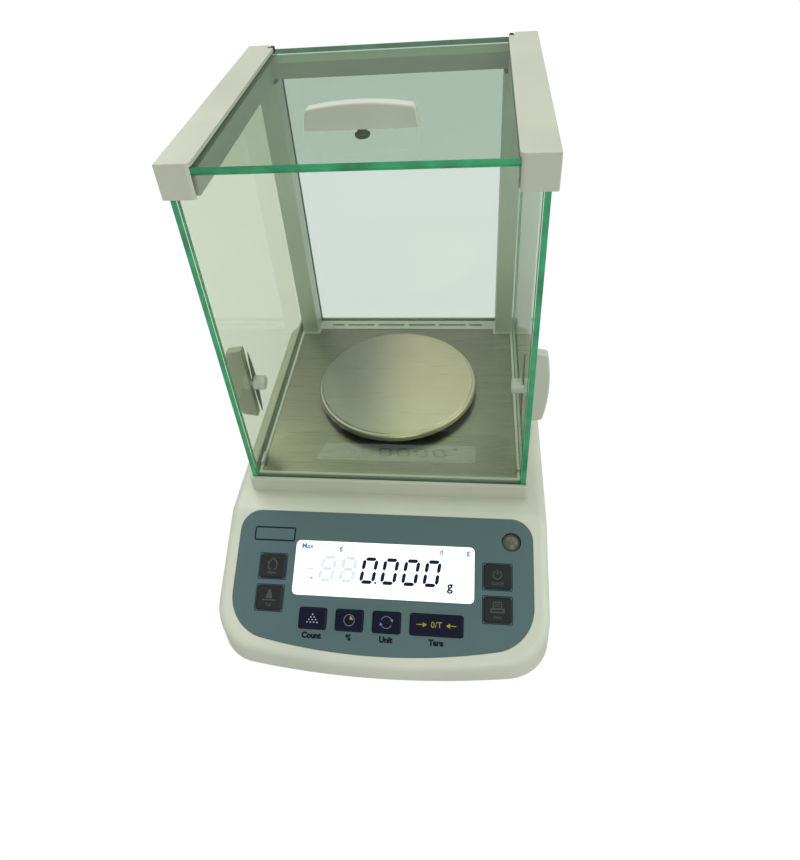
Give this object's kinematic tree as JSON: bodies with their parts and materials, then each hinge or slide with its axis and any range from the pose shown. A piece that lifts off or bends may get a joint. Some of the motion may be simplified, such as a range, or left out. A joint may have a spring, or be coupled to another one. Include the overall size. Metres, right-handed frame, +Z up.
{
  "type": "precision balance",
  "caption": "Precision balance with a sloping keypad and display, a round stainless pan and a glass draft shield with sliding side and top doors.",
  "frame": {"origin": "on the bench, under the middle of the balance's outline", "axes": "+X to the user's right, +Y away from the user, +Z up from the bench"},
  "size_m": [0.217, 0.3, 0.3182],
  "materials": {
    "housing": "moulded, fine grain, ivory",
    "shield_metal": "satin paint, warm grey",
    "glass": "clear float glass with green edges",
    "stainless": "brushed along X",
    "pan_steel": "brushed, slightly worn",
    "post_metal": "anodised extrusion",
    "carrier_metal": "cast",
    "cell_metal": "milled",
    "magnet": "plated iron pot",
    "copper": "wound copper wire",
    "screw_steel": "zinc plated",
    "panel": "printed film, satin",
    "key_navy": "smooth",
    "key_grey": "smooth",
    "lcd_cover": "clear window over a pale display",
    "display": "display in its frame",
    "board": "green circuit board",
    "black_plastic": "moulded",
    "handle_plastic": "moulded, fine grain, ivory",
    "clear_plastic": "milky plastic nut",
    "foot_plastic": "moulded wheel on a threaded stud",
    "rubber": "soft",
    "level_fluid": "clear vial with tinted fluid"
  },
  "bodies": {
    "base": {"base_housing": "housing", "base_plate": "housing", "base_plate_screws": "screw_steel", "board_standoffs": "screw_steel", "cell_frame": "cell_metal", "cell_guides": "cell_metal", "cell_hanger": "cell_metal", "cell_lever": "cell_metal", "coil": "copper", "control_panel": "panel", "floor_plate": "stainless", "front_glass": "glass", "keypad_board": "board", "lcd_module": "display", "lcd_window": "lcd_cover", "left_top_rail": "shield_metal", "level_cup": "black_plastic", "level_vial": "level_fluid", "magnet_pot": "magnet", "main_board": "board", "position_sensor": "black_plastic", "power_jack": "black_plastic", "rear_crossbeam": "shield_metal", "rear_glass": "glass", "rear_left_post": "post_metal", "rear_right_post": "post_metal", "right_top_rail": "shield_metal", "serial_port": "screw_steel", "shield_base_frame": "shield_metal", "shield_screws": "screw_steel"},
    "left_door": {"left_door_glass": "glass", "left_door_handle": "handle_plastic", "left_door_nut": "clear_plastic"},
    "right_door": {"right_door_glass": "glass", "right_door_handle": "handle_plastic", "right_door_nut": "clear_plastic"},
    "top_door": {"top_door_glass": "glass", "top_door_handle": "handle_plastic", "top_door_screw": "screw_steel", "top_door_bumpers": "rubber"},
    "carrier": {"pan_carrier": "carrier_metal", "carrier_pads": "rubber"},
    "pan": {"weighing_pan": "pan_steel"},
    "power_key": {"key_power": "key_grey"},
    "print_key": {"key_print": "key_grey"},
    "menu_key": {"key_menu": "key_grey"},
    "cal_key": {"key_cal": "key_grey"},
    "count_key": {"key_count": "key_navy"},
    "percent_key": {"key_percent": "key_navy"},
    "unit_key": {"key_unit": "key_navy"},
    "tare_key": {"key_tare": "key_navy"},
    "front_left_pad": {"foot_pad_front_left": "rubber"},
    "front_left_screw": {"foot_screw_front_left": "foot_plastic"},
    "front_right_pad": {"foot_pad_front_right": "rubber"},
    "front_right_screw": {"foot_screw_front_right": "foot_plastic"},
    "rear_left_pad": {"foot_pad_rear_left": "rubber"},
    "rear_left_screw": {"foot_screw_rear_left": "foot_plastic"},
    "rear_right_pad": {"foot_pad_rear_right": "rubber"},
    "rear_right_screw": {"foot_screw_rear_right": "foot_plastic"}
  },
  "joints": [
    {"name": "left_door_slide", "type": "slide", "parent": "base", "child": "left_door", "axis": [0, 1, 0], "range_m": [0, 0.12]},
    {"name": "right_door_slide", "type": "slide", "parent": "base", "child": "right_door", "axis": [0, 1, 0], "range_m": [0, 0.12]},
    {"name": "top_door_slide", "type": "slide", "parent": "base", "child": "top_door", "axis": [0, 1, 0], "range_m": [0, 0.12]},
    {"name": "carrier_lift", "type": "slide", "parent": "base", "child": "carrier", "axis": [0, 0, 1], "range_m": [0, 0.05]},
    {"name": "pan_lift", "type": "slide", "parent": "carrier", "child": "pan", "axis": [0, 0, 1], "range_m": [0, 0.1]},
    {"name": "power_press", "type": "slide", "parent": "base", "child": "power_key", "axis": [0, 0.4446, -0.8957], "range_m": [0, 0.0006], "stiffness_N_per_m": 400, "springref_m": -0.0004},
    {"name": "print_press", "type": "slide", "parent": "base", "child": "print_key", "axis": [0, 0.4446, -0.8957], "range_m": [0, 0.0006], "stiffness_N_per_m": 400, "springref_m": -0.0004},
    {"name": "menu_press", "type": "slide", "parent": "base", "child": "menu_key", "axis": [0, 0.4446, -0.8957], "range_m": [0, 0.0006], "stiffness_N_per_m": 400, "springref_m": -0.0004},
    {"name": "cal_press", "type": "slide", "parent": "base", "child": "cal_key", "axis": [0, 0.4446, -0.8957], "range_m": [0, 0.0006], "stiffness_N_per_m": 400, "springref_m": -0.0004},
    {"name": "count_press", "type": "slide", "parent": "base", "child": "count_key", "axis": [0, 0.4446, -0.8957], "range_m": [0, 0.0006], "stiffness_N_per_m": 400, "springref_m": -0.0004},
    {"name": "percent_press", "type": "slide", "parent": "base", "child": "percent_key", "axis": [0, 0.4446, -0.8957], "range_m": [0, 0.0006], "stiffness_N_per_m": 400, "springref_m": -0.0004},
    {"name": "unit_press", "type": "slide", "parent": "base", "child": "unit_key", "axis": [0, 0.4446, -0.8957], "range_m": [0, 0.0006], "stiffness_N_per_m": 400, "springref_m": -0.0004},
    {"name": "tare_press", "type": "slide", "parent": "base", "child": "tare_key", "axis": [0, 0.4446, -0.8957], "range_m": [0, 0.0006], "stiffness_N_per_m": 400, "springref_m": -0.0004},
    {"name": "front_left_foot_lift", "type": "slide", "parent": "base", "child": "front_left_pad", "axis": [0, 0, -1], "range_m": [0, 0.005]},
    {"name": "front_left_foot_turn", "type": "hinge", "parent": "front_left_pad", "child": "front_left_screw", "pos_m": [-0.085, -0.112, 0.005], "axis": [0, 0, -1], "range_deg": [0, 1445]},
    {"name": "front_right_foot_lift", "type": "slide", "parent": "base", "child": "front_right_pad", "axis": [0, 0, -1], "range_m": [0, 0.005]},
    {"name": "front_right_foot_turn", "type": "hinge", "parent": "front_right_pad", "child": "front_right_screw", "pos_m": [0.085, -0.112, 0.005], "axis": [0, 0, -1], "range_deg": [0, 1445]},
    {"name": "rear_left_foot_lift", "type": "slide", "parent": "base", "child": "rear_left_pad", "axis": [0, 0, -1], "range_m": [0, 0.005]},
    {"name": "rear_left_foot_turn", "type": "hinge", "parent": "rear_left_pad", "child": "rear_left_screw", "pos_m": [-0.085, 0.126, 0.005], "axis": [0, 0, -1], "range_deg": [0, 1445]},
    {"name": "rear_right_foot_lift", "type": "slide", "parent": "base", "child": "rear_right_pad", "axis": [0, 0, -1], "range_m": [0, 0.005]},
    {"name": "rear_right_foot_turn", "type": "hinge", "parent": "rear_right_pad", "child": "rear_right_screw", "pos_m": [0.085, 0.126, 0.005], "axis": [0, 0, -1], "range_deg": [0, 1445]}
  ],
  "couplings": [
    {"joint": "front_left_foot_turn", "follows": "front_left_foot_lift", "rad_per_m": 5026.5},
    {"joint": "front_right_foot_turn", "follows": "front_right_foot_lift", "rad_per_m": 5026.5},
    {"joint": "rear_left_foot_turn", "follows": "rear_left_foot_lift", "rad_per_m": 5026.5},
    {"joint": "rear_right_foot_turn", "follows": "rear_right_foot_lift", "rad_per_m": 5026.5}
  ]
}
